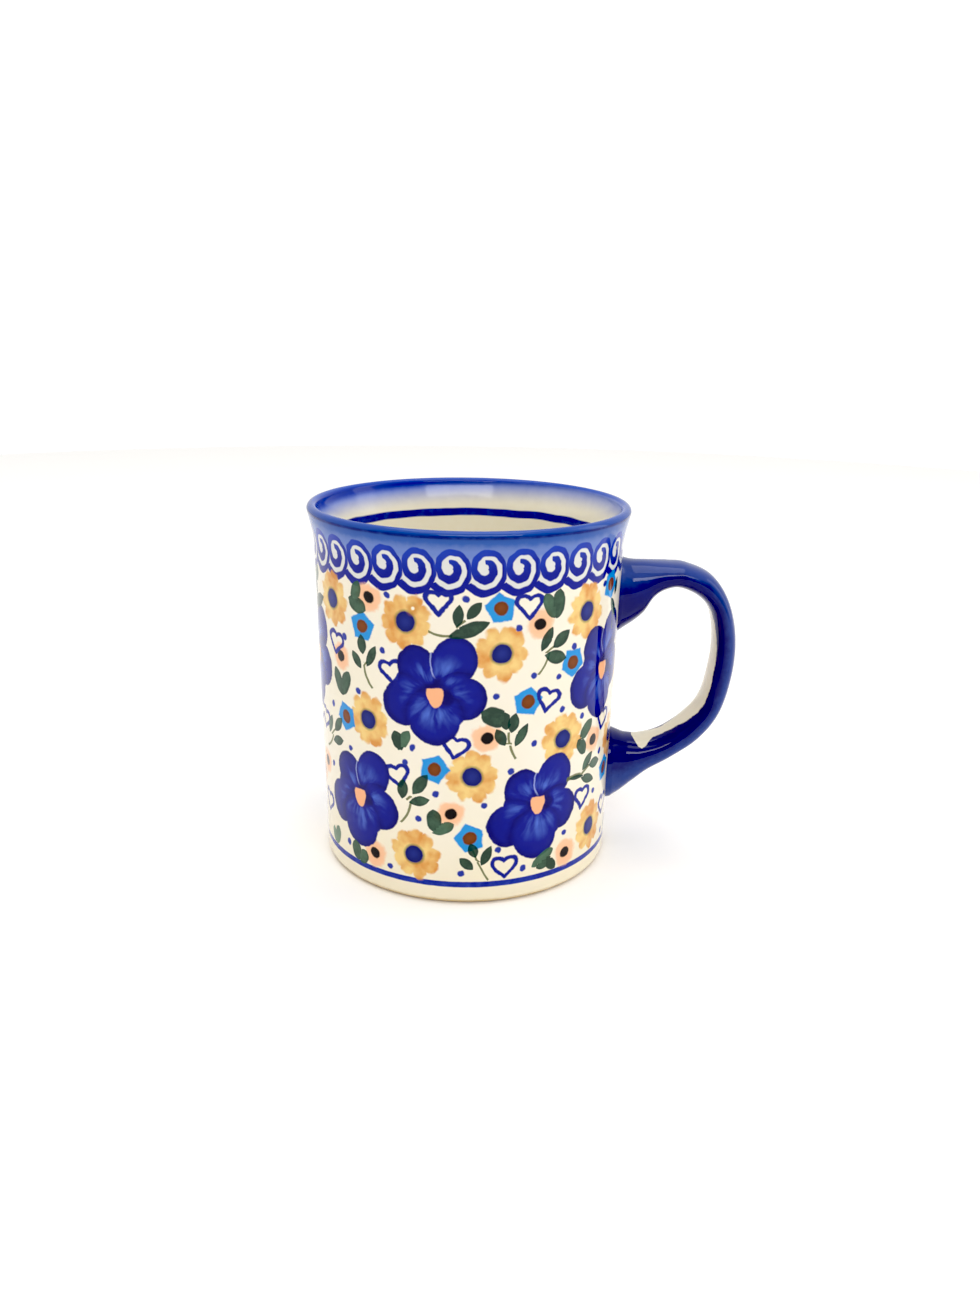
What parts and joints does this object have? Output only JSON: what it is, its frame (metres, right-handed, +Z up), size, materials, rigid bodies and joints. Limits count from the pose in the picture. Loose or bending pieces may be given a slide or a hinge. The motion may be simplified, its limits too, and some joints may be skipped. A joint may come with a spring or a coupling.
{
  "type": "mug",
  "caption": "Straight-sided stoneware mug with a flared rolled lip, an oval loop handle and a hand-painted flower and spiral border glaze.",
  "frame": {"origin": "centre of the foot ring, on the plane that the mug stands on", "axes": "+Z up the mug's axis, +X towards the handle"},
  "size_m": [0.1129, 0.083, 0.095],
  "materials": {
    "stoneware": "bare fired clay, matt",
    "joining_slip": "bare fired slip, matt",
    "painted_glaze": "cream gloss glaze over a cobalt, ochre, turquoise, peach and green underglaze pattern",
    "cream_glaze": "cream gloss glaze",
    "cobalt_glaze": "deep cobalt gloss glaze, left cream on the inside of the loop"
  },
  "bodies": {
    "root": {"cup_body": "stoneware", "handle": "stoneware", "upper_slip_joint": "joining_slip", "lower_slip_joint": "joining_slip", "outer_glaze": "painted_glaze", "inner_glaze": "cream_glaze", "handle_glaze": "cobalt_glaze", "base_glaze": "cream_glaze"}
  },
  "joints": []
}
